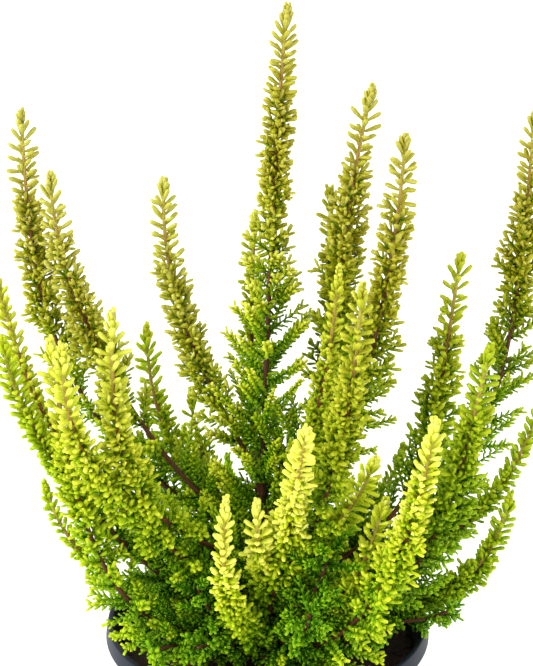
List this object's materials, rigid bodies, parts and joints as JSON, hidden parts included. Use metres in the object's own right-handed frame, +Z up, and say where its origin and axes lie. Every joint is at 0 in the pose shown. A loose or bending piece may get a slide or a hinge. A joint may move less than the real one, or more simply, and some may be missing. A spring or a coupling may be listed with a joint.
{
  "type": "potted heather",
  "caption": "Young heather with many upright leafy shoots on short woody stems, growing in a peat-filled round tapered nursery pot that stands on a flat base.",
  "frame": {"origin": "centre of the pot's flat base, on the surface that it stands on", "axes": "+Z up along the pot's axis, -Y towards the fullest side of the plant, +X to its right"},
  "size_m": [0.1718, 0.1342, 0.2859],
  "materials": {
    "pot": "satin moulded black plastic with a slight blue cast",
    "peat": "dark, matt, crumbly peat with fibres and bits of bark",
    "bark": "matt reddish-brown bark",
    "foliage": "satin fleshy leaves, lime yellow at the tips and green inside"
  },
  "bodies": {
    "root": {"peat": "peat", "pot": "pot", "shoot_back_centre_left": "foliage", "shoot_back_centre_right": "foliage", "shoot_back_left": "foliage", "shoot_back_left_low": "foliage", "shoot_back_right": "foliage", "shoot_back_right_low": "foliage", "shoot_centre_left": "foliage", "shoot_front_centre": "foliage", "shoot_front_centre_tall": "foliage", "shoot_front_left_short": "foliage", "shoot_front_left_tall": "foliage", "shoot_front_left_trailing": "foliage", "shoot_front_right": "foliage", "shoot_front_right_low": "foliage", "shoot_front_right_short": "foliage", "shoot_front_right_tall": "foliage", "shoot_front_right_trailing": "foliage", "shoot_leader": "foliage", "shoot_leader_side": "foliage", "shoot_left_back": "foliage", "shoot_left_back_short": "foliage", "shoot_left_centre": "foliage", "shoot_left_front_a": "foliage", "shoot_left_front_b": "foliage", "shoot_left_front_c": "foliage", "shoot_left_inner": "foliage", "shoot_left_low": "foliage", "shoot_left_near": "foliage", "shoot_left_outer": "foliage", "shoot_left_tall": "foliage", "shoot_left_trailing": "foliage", "shoot_right_centre": "foliage", "shoot_right_centre_front": "foliage", "shoot_right_centre_side": "foliage", "shoot_right_front": "foliage", "shoot_right_inner": "foliage", "shoot_right_inner_back": "foliage", "shoot_right_inner_low": "foliage", "shoot_right_low": "foliage", "shoot_right_near": "foliage", "shoot_right_outer": "foliage", "shoot_right_short": "foliage", "shoot_right_slender": "foliage", "shoot_right_spreading": "foliage", "shoot_right_tall": "foliage", "woody_stem_front": "bark", "woody_stem_main": "bark"}
  },
  "joints": []
}
